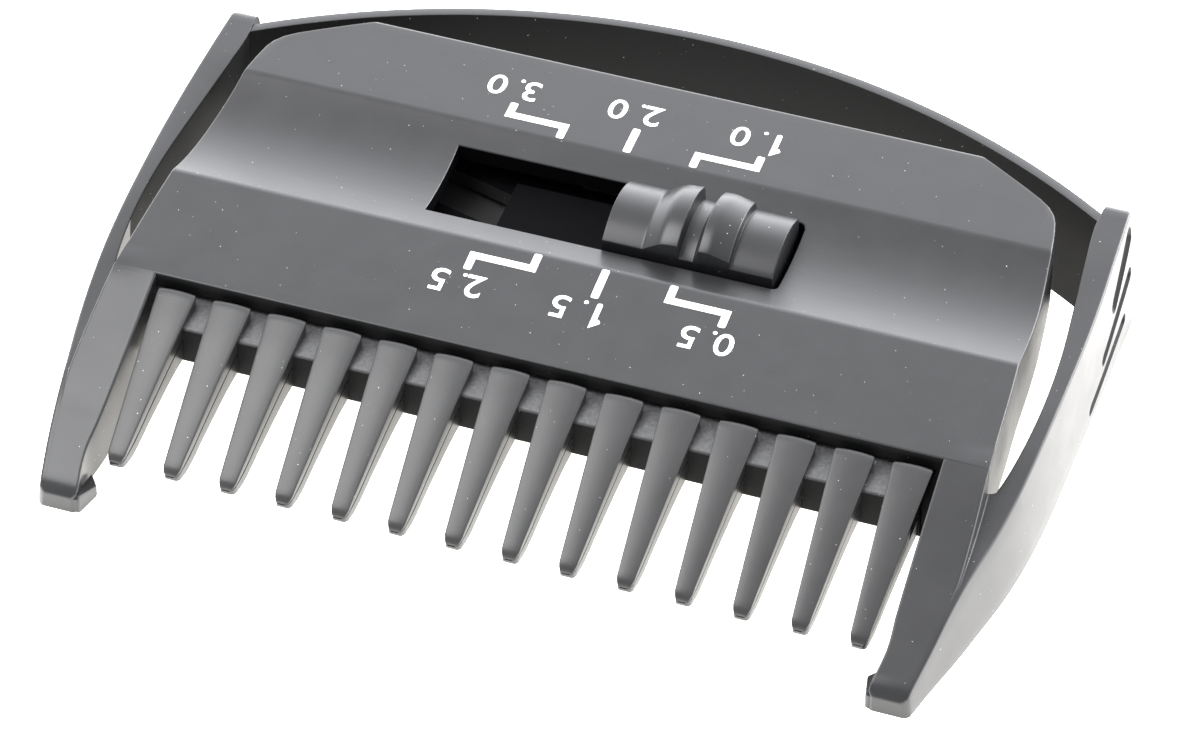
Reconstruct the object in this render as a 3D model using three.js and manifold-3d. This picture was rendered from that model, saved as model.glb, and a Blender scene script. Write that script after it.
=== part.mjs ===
// Adjustable guide comb for a hair clipper, in millimetres. +Z is up, +X right and -Y towards the tooth tips.
// The thumb slide moves across the top panel, and two cam pins under it push the comb out along the deck.
import * as THREE from "three";
import { mergeVertices } from "three/addons/utils/BufferGeometryUtils.js";
import Module from "manifold-3d";

const wasm = await Module();
wasm.setup();

// Driving dimensions. y counts rearwards from the runner tips, z up from the resting plane.
const GAP = 0.3; // clearance between pieces
const DEPTH = 41; // runner tips to the rear of the bridge
const TILT = THREE.MathUtils.degToRad(5); // the deck rises rearwards
const DECK_Y = 12.4; // front edge of the top panel
const DECK_Z = 6.87;
const OPENING_X = 22.2; // half width between the runners

const PANEL_BACK_Y = 34.5;
const SKIRT = 1.2; // wall of the panel's skirts
const PANEL_DEPTH = 4.75; // deck to the underside of the skirts
const ROOF = 1.35; // deck to the flat underside of the panel
const LIP = 0.92; // the same over the comb's bar
const LIP_LENGTH = 3;
const VALLEY = { front: 7.3, back: 16.1, frontRise: 0.45, backRise: 0.13, sag: 0.8 };

const SLOT = { halfLength: 10.1, middle: 11.8, width: 5.36 };
const RUNNER_OUTER_X = 24.95;
const RUNNER_SLOPE = Math.tan(THREE.MathUtils.degToRad(23.9));
const TIP_Z = 1.62;
const WING_BACK_Y = 33.95;

const BRIDGE_RADIUS = 44.65;
const BRIDGE_WALL = 0.7;
const BRIDGE_LIP = { width: 1.05, top: 7.1, height: 0.9 };
const BRIDGE_BOTTOM = 0.3;
const BRIDGE_TOP = 7.5;

const TEETH = 14;
const TOOTH_PITCH = 3.2;
const TOOTH = { tipY: 2.48, rootY: 11.8, tipHalf: 0.44, rootHalf: 1.02, draft: 0.07 };
const TOOTH_TOP = { tip: 2.33, slope: 0.452 };
const BAR = { front: -2.45, back: 2.5, top: -1.22, halfWidth: 21.8 };
const TONGUE = { halfWidth: 16.3, back: 17.6, top: -2.75, thickness: 1.0 };

const SETTINGS = 6; // 0.5, 1.0, 1.5, 2.0, 2.5 and 3.0 mm
const SETTING_STEP = 1.96; // thumb slide travel from one setting to the next
const SLIDE_TRAVEL = SETTING_STEP * (SETTINGS - 1);
const COMB_TRAVEL = 2.5;
const SLIDE_X = 4.9; // thumb slide's middle at the shortest setting
const THUMB = { halfLength: 4.85, halfWidth: 2.38, edge: 0.3, arch: 0.8 };

const CARRIAGE = { halfLength: 11.4, halfWidth: 2.1, thickness: 0.8 };
const CAM_PIN = { offset: 8.6, radius: 1.0 };
const STAKE = { offset: 3, radius: 0.9 };
const NOTCH = { x: 4.2, depth: 0.4, halfWidth: 0.7 };
const LEAF = { halfLength: 7.4, thickness: 0.3, v: 15.5, nose: 1.0, grip: 0.6 };

const PLATE_THICKNESS = 0.7;
const BOSS_RADIUS = 1.9;
const CUP = { radius: 2.3, top: -3.0, recess: 1.8 };
const SCREW = { radius: 0.8, headRadius: 1.45, headHeight: 0.6, length: 3.1, drive: 1.8, driveWidth: 0.4 };
const SCREW_PLACES = [
  [19.9, 5.2],
  [-19.9, 5.2],
  [19.0, 17.8],
  [-19.0, 17.8],
];

const CARRIAGE_TOP = -ROOF - GAP;
const TONGUE_BOTTOM = TONGUE.top - TONGUE.thickness;
const PLATE_TOP = TONGUE_BOTTOM - GAP;
const ROUND = 20; // facets of a small round
const QUARTER = Math.PI / 2;
const HIGH = 14; // above everything, for plan outlines that cut right through

// A point of the deck, v along it from the panel's front edge and w square to it, as [y, z].
function deck(v, w) {
  return [
    DECK_Y + v * Math.cos(TILT) - w * Math.sin(TILT),
    DECK_Z + v * Math.sin(TILT) + w * Math.cos(TILT),
  ];
}

// ---- solids ----

function solid(geometry) {
  const bare = geometry.clone();
  bare.deleteAttribute("normal");
  bare.deleteAttribute("uv");
  const merged = mergeVertices(bare, 1e-4);
  const index = merged.index.array;
  return new wasm.Manifold(
    new wasm.Mesh({
      numProp: 3,
      vertProperties: merged.attributes.position.array,
      triVerts: new Uint32Array(index),
    }),
  );
}

function geometryOf(manifold) {
  const mesh = manifold.getMesh();
  const indexed = new THREE.BufferGeometry()
    .setAttribute("position", new THREE.BufferAttribute(mesh.vertProperties, 3))
    .setIndex(new THREE.BufferAttribute(mesh.triVerts, 1));
  const flat = indexed.toNonIndexed();
  flat.computeVertexNormals();
  return flat;
}

function shapeOf(points) {
  return new THREE.Shape(points.map(([a, b]) => new THREE.Vector2(a, b)));
}

function extrude(shape, from, to, curveSegments = 12) {
  const geometry = new THREE.ExtrudeGeometry(shape, {
    depth: to - from,
    bevelEnabled: false,
    curveSegments,
  });
  return geometry.translate(0, 0, from);
}

// Turns a shape drawn in [y, z] and extruded upwards so that its extrusion runs along X.
function layAlongX(geometry) {
  const cycle = new THREE.Matrix4().set(0, 0, 1, 0, 1, 0, 0, 0, 0, 1, 0, 0, 0, 0, 0, 1);
  return geometry.applyMatrix4(cycle);
}

function alongX(points, from, to) {
  return solid(layAlongX(extrude(shapeOf(points), from, to)));
}

// A slot with round ends, as a plan shape between two centres.
function slotShape([x0, y0], [x1, y1], radius) {
  const heading = Math.atan2(y1 - y0, x1 - x0);
  const shape = new THREE.Shape();
  shape.absarc(x1, y1, radius, heading - QUARTER, heading + QUARTER, false);
  shape.absarc(x0, y0, radius, heading + QUARTER, heading + 3 * QUARTER, false);
  return shape;
}

// The deck's own frame: X across, v rearwards and w up, laid on the tilted deck.
function onDeck(geometry) {
  return solid(geometry.rotateX(TILT).translate(0, DECK_Y, DECK_Z));
}

function deckBlock(x0, x1, v0, v1, w0, w1) {
  const box = new THREE.BoxGeometry(x1 - x0, v1 - v0, w1 - w0);
  return onDeck(box.translate((x0 + x1) / 2, (v0 + v1) / 2, (w0 + w1) / 2));
}

function deckPost(x, v, radius, w0, w1) {
  const post = new THREE.CylinderGeometry(radius, radius, w1 - w0, ROUND);
  return onDeck(post.rotateX(Math.PI / 2).translate(x, v, (w0 + w1) / 2));
}

function deckPlate(shape, w0, w1) {
  return onDeck(extrude(shape, w0, w1));
}

function join(solids) {
  return solids.reduce((whole, next) => whole.add(next));
}

function cut(body, tools) {
  return tools.reduce((rest, tool) => rest.subtract(tool), body);
}

// ---- body moulding ----

// Plan outline of the panel, drawn in by `inset`. It runs forward to `front`; its sides stay inside `widest`.
function panelOutline(inset, front, widest) {
  const side = (x) => Math.min(x - inset, widest);
  const back = PANEL_BACK_Y - inset;
  const half = [
    [side(24.35), front],
    [side(24.35), 15],
    [side(24.2), 20],
    [side(23.9), 25],
    [side(23.5), 28.4],
    [side(23.15), 30.4],
    [side(22.7), 31.5 - inset * 0.5],
    [side(21.9), 32.25 - inset * 0.6],
    [17.7 - inset * 0.4, back],
  ];
  const mirrored = half.map(([x, y]) => [-x, y]).reverse();
  return shapeOf([...half, ...mirrored]);
}

// Top of the panel in deck coordinates: a front flat, a valley of one arc, and a rear flat.
function panelTop() {
  const { front, back, frontRise, backRise, sag } = VALLEY;
  const steps = 12;
  const points = [
    [0, -0.08],
    [0.08, 0],
  ];
  for (let i = 0; i <= steps; i++) {
    const t = i / steps;
    const chord = frontRise + (backRise - frontRise) * t;
    points.push([front + (back - front) * t, chord - sag * 4 * t * (1 - t)]);
  }
  points.push([(PANEL_BACK_Y - DECK_Y) / Math.cos(TILT) + 1, 0]);
  return points;
}

function panelShell() {
  const top = panelTop();
  const back = top[top.length - 1][0];
  const outline = [[0, -PANEL_DEPTH], ...top, [back, -PANEL_DEPTH]].map(([v, w]) => deck(v, w));
  const block = alongX(outline.reverse(), -26, 26);
  const plan = solid(extrude(panelOutline(0, DECK_Y - 1, 26), -1, HIGH));
  const hollow = [
    deck(-3, -PANEL_DEPTH - 2),
    deck(back, -PANEL_DEPTH - 2),
    deck(back, -ROOF),
    deck(LIP_LENGTH, -ROOF),
    deck(LIP_LENGTH, -LIP),
    deck(-3, -LIP),
  ];
  const inside = solid(extrude(panelOutline(SKIRT, DECK_Y - 4, OPENING_X), -1, HIGH));
  return block.intersect(plan).subtract(alongX(hollow, -26, 26).intersect(inside));
}

// The right runner, from the panel's front corner to its hooked tip.
function runner() {
  const top = (y) => TIP_Z + (y - 0.5) * RUNNER_SLOPE;
  const plan = [
    [OPENING_X - 1, -1],
    [24.1, -1],
    [24.2, 0],
    [24.72, 2.6],
    [RUNNER_OUTER_X, 4.2],
    [RUNNER_OUTER_X, 14],
    [OPENING_X - 1, 14],
  ];
  const slab = alongX(
    [
      [0.25, 0],
      [4.8, 0],
      [7, 1.2],
      deck(1.2, -PANEL_DEPTH),
      [13.6, 6.5],
      [12.6, top(12.6) - 0.35],
      [12.2, top(12.2) - 0.35],
      [11.4, top(11.4)],
      [0.5, TIP_Z],
      [0.12, 1.3],
      [0, 1],
      [0, 0.2],
    ],
    OPENING_X,
    RUNNER_OUTER_X,
  ).intersect(solid(extrude(shapeOf(plan), 0, HIGH)));
  // The foot's ledge turns in under the blade and leaves a notch above it.
  const ledge = shapeOf([
    [OPENING_X + 0.2, 0.05],
    [OPENING_X + 0.2, 3.1],
    [OPENING_X - 0.6, 2.2],
    [OPENING_X - 0.1, 0.05],
  ]);
  const ledgeHeight = alongX(
    [
      [0, 0],
      [4, 0],
      [4, 0.5],
      [1.9, 0.75],
      [0, 1.2],
    ],
    0,
    30,
  );
  return slab.add(solid(extrude(ledge, 0, 2)).intersect(ledgeHeight));
}

const WING_TOP = [
  [0, 1.0],
  [0.12, 1.3],
  [0.5, 1.62],
  [2.64, 2.55],
  [4.8, 3.5],
  [7.3, 4.15],
  [9.9, 4.55],
  [12.5, 5.05],
  [15.2, 5.62],
  [18, 6.05],
  [21, 6.38],
  [24.1, 6.68],
  [27.2, 7.0],
  [30.3, 7.35],
  [WING_BACK_Y, 7.68],
];

// Outer outline of the right wing in plan: x at the top edge, y, and how far the wall flares out at its foot.
const WING_OUTER = [
  [24.2, 0, 0.15],
  [24.72, 2.64, 0.22],
  [25.07, 4.8, 0.42],
  [25.48, 7.3, 0.55],
  [25.95, 9.9, 0.6],
  [26.3, 12.5, 0.6],
  [26.53, 15.2, 0.56],
  [26.67, 18, 0.48],
  [26.76, 21, 0.38],
  [26.8, 24.1, 0.27],
  [26.75, 27.2, 0.15],
  [26.61, 30.3, 0.06],
  [26.48, WING_BACK_Y - 0.6, 0],
  [26.1, WING_BACK_Y, 0],
];
const WING_INNER = [
  [24.95, WING_BACK_Y],
  [24.85, 32.4],
  [25.05, 29.8],
  [25.43, 26.1],
  [25.77, 22.5],
  [25.86, 20],
  [25.78, 17.2],
  [25.38, 13.9],
  [25.02, 12.3],
  [24.8, 10.5],
  [24.3, 5],
  [23.4, 0],
];

function interpolate(rows, key, value, at) {
  const after = rows.findIndex((row) => row[key] >= at);
  if (after <= 0) return rows[after < 0 ? rows.length - 1 : 0][value];
  const low = rows[after - 1];
  const high = rows[after];
  return low[value] + ((high[value] - low[value]) * (at - low[key])) / (high[key] - low[key]);
}

const WING_TOP_MOST = 7.7;
const wingTopAt = (y) => interpolate(WING_TOP, 0, 1, y);

// Leans upright faces near a wing outwards below its top edge.
function flare(geometry) {
  const place = geometry.attributes.position;
  for (let i = 0; i < place.count; i++) {
    const y = place.getY(i);
    const drop = 1 - place.getZ(i) / wingTopAt(y);
    place.setX(i, place.getX(i) + drop * interpolate(WING_OUTER, 1, 2, y));
  }
  return geometry;
}

// The right wing: a bowed wall that is thinnest halfway and flares out below its top edge.
function wing() {
  const outer = WING_OUTER.map(([x, y]) => [x, y]);
  const wall = flare(extrude(shapeOf([...outer, ...WING_INNER]), 0, WING_TOP_MOST));
  const below = alongX([[0, 0], [WING_BACK_Y, 0], ...[...WING_TOP].reverse()], 20, 30);
  return solid(wall).intersect(below);
}

// Rear bridge: an upright arc with a lip inside, a step below its top.
function bridge() {
  const centreY = DEPTH - BRIDGE_RADIUS;
  const reach = 25.1; // half width, into the wings' walls
  const angle = (radius) => Math.asin(reach / radius);
  const band = (thickness, z0, z1) => {
    const inner = BRIDGE_RADIUS - thickness;
    const out = angle(BRIDGE_RADIUS);
    const shape = new THREE.Shape();
    shape.absarc(0, centreY, BRIDGE_RADIUS, QUARTER - out, QUARTER + out, false);
    shape.absarc(0, centreY, inner, QUARTER + angle(inner), QUARTER - angle(inner), true);
    return solid(extrude(shape, z0, z1, 28));
  };
  return join([
    band(BRIDGE_WALL, BRIDGE_BOTTOM, BRIDGE_TOP),
    band(BRIDGE_LIP.width, BRIDGE_LIP.top - BRIDGE_LIP.height, BRIDGE_LIP.top),
  ]);
}

// Two slit posts under the roof hold the ends of the detent leaf.
function leafPosts() {
  const bottom = CARRIAGE_TOP - CARRIAGE.thickness;
  const slit = LEAF.thickness / 2 + GAP;
  return [-1, 1].map((side) => {
    const x = NOTCH.x + side * (LEAF.halfLength - LEAF.grip);
    const post = deckBlock(x - 1, x + 1, LEAF.v - 1.2, LEAF.v + 1.3, bottom, -ROOF + 0.2);
    return post.subtract(deckBlock(x - 2, x + 2, LEAF.v - slit, LEAF.v + slit, bottom - 1, -ROOF));
  });
}

// Grip grooves in a wing's outer face: for each, its front and back end as [y, z].
const GRIP_GROOVES = [
  [[29.6, 4.5], [33.1, 5.1]],
  [[27.7, 2.7], [32.9, 3.2]],
  [[25.2, 1.1], [31.9, 1.4]],
];
const GROOVE_RADIUS = 0.42;
const GROOVE_FLOOR_X = 26.35;

function gripGrooves() {
  return GRIP_GROOVES.map(([front, back]) => {
    const prism = extrude(slotShape(front, back, GROOVE_RADIUS), GROOVE_FLOOR_X, 28, 4);
    return solid(flare(layAlongX(prism)));
  });
}

function bodyFrame() {
  const half = cut(runner().add(wing()), gripGrooves());
  const slotFront = SLOT.middle - SLOT.width / 2;
  const slotBack = SLOT.middle + SLOT.width / 2;
  const shell = panelShell().subtract(
    deckBlock(-SLOT.halfLength, SLOT.halfLength, slotFront, slotBack, -ROOF - 1, 2),
  );
  const bosses = SCREW_PLACES.map(([x, v]) => deckPost(x, v, BOSS_RADIUS, CUP.top + GAP, -ROOF + 0.2));
  const pilots = SCREW_PLACES.map(([x, v]) => deckPost(x, v, SCREW.radius + GAP, -4, -ROOF + 0.1));
  const body = join([shell, half, half.mirror([1, 0, 0]), bridge(), ...bosses, ...leafPosts()]);
  return cut(body, pilots);
}

// ---- comb ----

// One tooth on the middle plane: it narrows to the tip and, by its draft, to the underside.
function tooth() {
  const outline = shapeOf([
    [9.2, 2.9],
    [3.4, 1.42],
    [2.85, 1.5],
    [2.5, 1.8],
    [2.48, 2.15],
    [2.85, 2.48],
    [11.35, 6.33],
    [11.65, 6.25],
    [11.8, 5.95],
    [11.8, 5.2],
    [11.2, 3.1],
  ]);
  const geometry = new THREE.ExtrudeGeometry(outline, {
    depth: 1.0,
    bevelEnabled: true,
    bevelThickness: 0.5,
    bevelSize: 0.22,
    bevelOffset: -0.22,
    bevelSegments: 2,
  });
  layAlongX(geometry.translate(0, 0, -0.5));
  const { tipY, rootY, tipHalf, rootHalf, draft } = TOOTH;
  const place = geometry.attributes.position;
  for (let i = 0; i < place.count; i++) {
    const y = place.getY(i);
    const along = (y - tipY) / (rootY - tipY);
    const depth = TOOTH_TOP.tip + (y - tipY) * TOOTH_TOP.slope - place.getZ(i);
    const halfWidth = tipHalf + (rootHalf - tipHalf) * along - draft * Math.max(depth, 0);
    place.setX(i, place.getX(i) * halfWidth);
  }
  return solid(geometry);
}

// The pin at the shortest setting stands in the slot's right end, and the slot runs left and rearwards.
function camSlot(side) {
  const right = [SLIDE_X + side * CAM_PIN.offset, SLOT.middle];
  const left = [right[0] - SLIDE_TRAVEL, SLOT.middle + COMB_TRAVEL];
  return deckPlate(slotShape(left, right, CAM_PIN.radius + GAP), TONGUE_BOTTOM - 1, TONGUE.top + 1);
}

function comb() {
  const one = tooth();
  const first = (-TOOTH_PITCH * (TEETH - 1)) / 2;
  const teeth = Array.from({ length: TEETH }, (_, i) => one.translate([first + i * TOOTH_PITCH, 0, 0]));
  const bar = deckBlock(-BAR.halfWidth, BAR.halfWidth, BAR.front, BAR.back, TONGUE_BOTTOM, BAR.top);
  const tongue = deckBlock(
    -TONGUE.halfWidth,
    TONGUE.halfWidth,
    BAR.back - 0.5,
    TONGUE.back,
    TONGUE_BOTTOM,
    TONGUE.top,
  );
  return cut(join([bar, tongue, ...teeth]), [camSlot(-1), camSlot(1)]);
}

// ---- thumb slide and carriage ----

// Along X: a flat, a climb to the first ridge, the pointer groove, the second ridge and another flat.
const THUMB_PROFILE = [
  [0, 0],
  [2.3, 0],
  [3.6, 0.8],
  [4.35, 0.8],
  [4.36, -0.1],
  [5.3, -0.1],
  [5.65, 0.85],
  [6.2, 0.85],
  [7.3, 0.45],
  [7.31, 0],
  [9.7, 0],
];

function thumbSlide() {
  const left = SLIDE_X - THUMB.halfLength;
  const bottom = -ROOF;
  const steps = 8;
  const outline = [...THUMB_PROFILE.map(([x, w]) => [left + x, w + THUMB.edge]).reverse()];
  outline.push([left, bottom], [left + 2 * THUMB.halfLength, bottom]);
  const geometry = new THREE.ExtrudeGeometry(shapeOf(outline), {
    depth: 2 * THUMB.halfWidth,
    steps,
    bevelEnabled: false,
  });
  geometry.translate(0, 0, -THUMB.halfWidth).rotateX(Math.PI / 2);
  const place = geometry.attributes.position;
  for (let i = 0; i < place.count; i++) {
    const across = place.getY(i) / THUMB.halfWidth;
    if (place.getZ(i) > bottom + 0.1) place.setZ(i, place.getZ(i) + THUMB.arch * (1 - across * across));
  }
  const button = onDeck(geometry.translate(0, SLOT.middle, 0));
  const stakeBottom = CARRIAGE_TOP - CARRIAGE.thickness;
  const stakes = [-1, 1].map((side) =>
    deckPost(SLIDE_X + side * STAKE.offset, SLOT.middle, STAKE.radius, stakeBottom, bottom + 0.2),
  );
  return join([button, ...stakes]);
}

function carriage() {
  const bottom = CARRIAGE_TOP - CARRIAGE.thickness;
  const plate = deckBlock(
    SLIDE_X - CARRIAGE.halfLength,
    SLIDE_X + CARRIAGE.halfLength,
    SLOT.middle - CARRIAGE.halfWidth,
    SLOT.middle + CARRIAGE.halfWidth,
    bottom,
    CARRIAGE_TOP,
  );
  const pins = [-1, 1].map((side) =>
    deckPost(SLIDE_X + side * CAM_PIN.offset, SLOT.middle, CAM_PIN.radius, TONGUE_BOTTOM, bottom + 0.2),
  );
  const stakeHoles = [-1, 1].map((side) =>
    deckPost(SLIDE_X + side * STAKE.offset, SLOT.middle, STAKE.radius + GAP, bottom - 1, CARRIAGE_TOP + 1),
  );
  const edge = SLOT.middle + CARRIAGE.halfWidth;
  const notches = Array.from({ length: SETTINGS }, (_, i) => {
    const x = NOTCH.x + i * SETTING_STEP;
    const vee = shapeOf([
      [x, edge - NOTCH.depth],
      [x + NOTCH.halfWidth, edge + 0.1],
      [x - NOTCH.halfWidth, edge + 0.1],
    ]);
    return deckPlate(vee, bottom - 1, CARRIAGE_TOP + 1);
  });
  return cut(join([plate, ...pins]), [...stakeHoles, ...notches]);
}

// Spring-steel strip held at both ends, with a nose that rides over the carriage's notches.
function detentSpring() {
  const { halfLength, thickness, v, nose } = LEAF;
  const front = v - thickness / 2;
  const tip = SLOT.middle + CARRIAGE.halfWidth + GAP;
  const strip = [
    [-halfLength, front],
    [-nose - 0.15, front],
    [-0.3, tip],
    [0.3, tip],
    [nose + 0.15, front],
    [halfLength, front],
    [halfLength, front + thickness],
    [nose, front + thickness],
    [0.15, tip + thickness],
    [-0.15, tip + thickness],
    [-nose, front + thickness],
    [-halfLength, front + thickness],
  ].map(([x, along]) => [NOTCH.x + x, along]);
  return deckPlate(shapeOf(strip), CARRIAGE_TOP - CARRIAGE.thickness, CARRIAGE_TOP);
}

// ---- back plate and its screws ----

function backPlate() {
  const bottom = PLATE_TOP - PLATE_THICKNESS;
  const plan = panelOutline(SKIRT + GAP, DECK_Y + 0.8, OPENING_X - GAP);
  const outline = solid(extrude(plan, -1, HIGH));
  const sheet = deckBlock(-26, 26, -1, 24, bottom, PLATE_TOP);
  const recessTop = CUP.top - PLATE_THICKNESS;
  const atScrews = (radius, w0, w1) => SCREW_PLACES.map(([x, v]) => deckPost(x, v, radius, w0, w1));
  const cups = atScrews(CUP.radius, bottom, CUP.top);
  const recesses = atScrews(CUP.recess, bottom - 1, recessTop);
  const holes = atScrews(SCREW.radius + GAP, bottom - 1, CUP.top + 1);
  return cut(join([sheet, ...cups]).intersect(outline), [...recesses, ...holes]);
}

function plateScrew([x, v]) {
  const top = CUP.top - PLATE_THICKNESS - GAP;
  const head = deckPost(x, v, SCREW.headRadius, top - SCREW.headHeight, top);
  const shank = deckPost(x, v, SCREW.radius, top - 0.1, top + SCREW.length - SCREW.headHeight);
  const half = SCREW.drive / 2;
  const thin = SCREW.driveWidth / 2;
  const drive = deckBlock(x - half, x + half, v - thin, v + thin, top - SCREW.headHeight - 1, top - 0.3);
  return head.add(shank).subtract(drive);
}

// ---- assembly ----

const charcoal = new THREE.MeshStandardMaterial({ color: 0x3a3b3d, roughness: 0.5, metalness: 0 });
const slideBlack = new THREE.MeshStandardMaterial({ color: 0x303133, roughness: 0.45, metalness: 0 });
const steel = new THREE.MeshStandardMaterial({ color: 0xb4b6b8, roughness: 0.3, metalness: 1 });

function piece(name, manifold, material) {
  const mesh = new THREE.Mesh(geometryOf(manifold), material);
  mesh.name = name;
  return mesh;
}

const guideComb = new THREE.Group();
guideComb.add(
  piece("body_frame", bodyFrame(), charcoal),
  piece("comb", comb(), charcoal),
  piece("thumb_slide", thumbSlide(), slideBlack),
  piece("slide_carriage", carriage(), slideBlack),
  piece("detent_spring", detentSpring(), steel),
  piece("back_plate", backPlate(), charcoal),
);
SCREW_PLACES.forEach((place, i) => guideComb.add(piece(`plate_screw_${i + 1}`, plateScrew(place), steel)));
guideComb.children.forEach((mesh) => mesh.position.set(0, -DEPTH / 2, 0));

export default guideComb;
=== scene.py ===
# Adjustable guide comb for a hair clipper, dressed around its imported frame.
# Shapes are worked out in millimetres, with y counted rearwards from the runner tips, and are
# placed in the frame's metres as each mesh is made.
import math

import bmesh
import bpy
import numpy as np
from mathutils import Matrix, Vector


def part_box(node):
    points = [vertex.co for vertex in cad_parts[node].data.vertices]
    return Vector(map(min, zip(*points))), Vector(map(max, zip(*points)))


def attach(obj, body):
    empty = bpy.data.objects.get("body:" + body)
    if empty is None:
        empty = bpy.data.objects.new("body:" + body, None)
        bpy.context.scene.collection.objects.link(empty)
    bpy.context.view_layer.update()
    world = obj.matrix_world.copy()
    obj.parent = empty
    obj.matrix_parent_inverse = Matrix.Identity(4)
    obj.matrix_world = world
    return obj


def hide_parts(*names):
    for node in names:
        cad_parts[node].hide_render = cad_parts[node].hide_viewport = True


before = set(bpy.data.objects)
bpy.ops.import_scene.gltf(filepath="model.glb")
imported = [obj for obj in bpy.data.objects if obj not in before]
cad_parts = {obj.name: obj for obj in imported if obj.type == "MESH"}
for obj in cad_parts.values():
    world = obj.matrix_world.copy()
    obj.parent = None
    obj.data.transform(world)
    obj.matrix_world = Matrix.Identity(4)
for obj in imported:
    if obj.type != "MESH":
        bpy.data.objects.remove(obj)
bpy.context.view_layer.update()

# ---- Body moulding: runners and wings ----
# One injection-moulded shell in satin charcoal plastic. Each side has a runner that ends in a
# hooked foot, and a bowed wing that leaves the runner's flank and stands free beside the panel.
tip_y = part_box("body_frame")[0].y
TILT = math.radians(5)
DECK = (12.4, 6.87)  # y and z of the panel's front edge


def deck(v, w):
    """Deck coordinates, v along the panel and w square to it, as (y, z)."""
    y = DECK[0] + v * math.cos(TILT) - w * math.sin(TILT)
    z = DECK[1] + v * math.sin(TILT) + w * math.cos(TILT)
    return y, z


def placed(point):
    """A point in the frame's metres."""
    return Vector((point[0] / 1000, point[1] / 1000 + tip_y, point[2] / 1000))


def new_piece(name, builder):
    """Makes an object of a bmesh that was built in millimetres."""
    for vertex in builder.verts:
        vertex.co = placed(vertex.co)
    mesh = bpy.data.meshes.new(name)
    bmesh.ops.recalc_face_normals(builder, faces=builder.faces)
    builder.to_mesh(mesh)
    builder.free()
    piece = bpy.data.objects.new(name, mesh)
    bpy.context.collection.objects.link(piece)
    return piece


def smooth(knots, at):
    """Height at `at` of a smooth curve through the knots."""
    xs, ys = (np.array(column, float) for column in zip(*knots))
    slopes = np.gradient(ys, xs)
    at = min(max(at, xs[0]), xs[-1])
    i = int(np.clip(np.searchsorted(xs, at) - 1, 0, len(xs) - 2))
    step = xs[i + 1] - xs[i]
    t = (at - xs[i]) / step
    ease = t * t * (3 - 2 * t)
    bend = slopes[i] * step * t * (1 - t) ** 2 - slopes[i + 1] * step * t * t * (1 - t)
    return float(ys[i] + (ys[i + 1] - ys[i]) * ease + bend)


def rounded(corners, steps=4):
    """Rounds a closed outline: each corner is (a, b, radius), and radius None keeps one point."""
    points = []
    for i, (a, b, radius) in enumerate(corners):
        here = Vector((a, b))
        if radius is None:
            points.append((a, b))
            continue
        before = Vector(corners[i - 1][:2]) - here
        after = Vector(corners[(i + 1) % len(corners)][:2]) - here
        reach = min(radius, before.length * 0.45, after.length * 0.45)
        start = here + before.normalized() * reach
        end = here + after.normalized() * reach
        for k in range(steps + 1):
            t = k / steps
            spot = start * (1 - t) ** 2 + here * 2 * t * (1 - t) + end * t * t
            points.append((spot.x, spot.y))
    return points


def strip(builder, ring, next_ring):
    """A band of faces between two closed rings of as many points."""
    for i in range(len(ring)):
        j = (i + 1) % len(ring)
        builder.faces.new((ring[i], ring[j], next_ring[j], next_ring[i]))


def loft(builder, sections):
    """A closed tube through sections of as many points each, capped at both ends."""
    rings = [[builder.verts.new(point) for point in section] for section in sections]
    for ring, next_ring in zip(rings, rings[1:]):
        strip(builder, ring, next_ring)
    builder.faces.new(rings[0])
    builder.faces.new(rings[-1])
    return rings


WING_TOP = [(0.5, 1.62), (2.6, 2.58), (4.8, 3.5), (7.3, 4.15), (9.9, 4.55), (12.5, 5.05)]
WING_TOP += [(15.2, 5.62), (18, 6.05), (21, 6.38), (24.1, 6.68), (27.2, 7.0), (30.3, 7.35), (34, 7.68)]
WING_OUTER = [(0, 24.2), (2.6, 24.72), (4.8, 25.07), (7.3, 25.48), (9.9, 25.95), (12.5, 26.3)]
WING_OUTER += [(15.2, 26.53), (18, 26.67), (21, 26.76), (24.1, 26.8), (27.2, 26.75), (30.3, 26.61)]
WING_OUTER += [(34, 26.43)]
WING_INNER = [(0, 23.4), (5, 24.3), (10.5, 24.8), (12.4, 25.05), (13.9, 25.38), (17.2, 25.78)]
WING_INNER += [(20, 25.86), (22.5, 25.77), (26.1, 25.43), (29.8, 25.05), (32.4, 24.85), (34, 24.95)]
WING_FLARE = [(0, 0.15), (2.6, 0.22), (4.8, 0.42), (7.3, 0.55), (9.9, 0.6), (12.5, 0.6), (15.2, 0.56)]
WING_FLARE += [(18, 0.48), (21, 0.38), (24.1, 0.33), (27.2, 0.38), (30.3, 0.5), (34, 0.66)]
WING_BULGE = [(0.4, 0.72), (0.72, 0.45), (0.92, 0.2)]  # share of the flare, share of the height
WING_BACK = 34.4
WING_CORNER = 0.8
WING_LEDGE = 0.32  # least width of a wing's top beside its runner
WING_KNEE = 2.0  # height where a free wing's inner face starts to lean out
WING_EDGE = {"inner": 0.1, "outer": 0.2, "foot": 0.08}
RUNNER_SLOPE = math.tan(math.radians(23.9))
RUNNER_START = (0.5, 1.62)
RUNNER_INNER = [(0, 22.1), (0.6, 22.15), (1.4, 22.3), (2.4, 22.42), (4, 22.34), (7, 22.28), (12.4, 22.24)]
RUNNER_STEP = [(0, 24.95), (9, 24.95), (12.4, 24.74)]
RUNNER_UNDER = [(4.8, 0), (7, 1.2), (14, 2.24)]
RUNNER_BACK = 12.4
RUNNER_EDGE = {"inner": 0.13, "step": 0.14, "crease": 0.1, "foot": 0.08}
TIP_END = 0.65
TIP_PINCH = 0.3
TIP_ROUND = [(0, 0.98, 0.14), (0.02, 1.08, 0.06), (0.09, 1.18, 0.01), (0.24, 1.34, 0), (0.4, 1.5, 0)]
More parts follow.
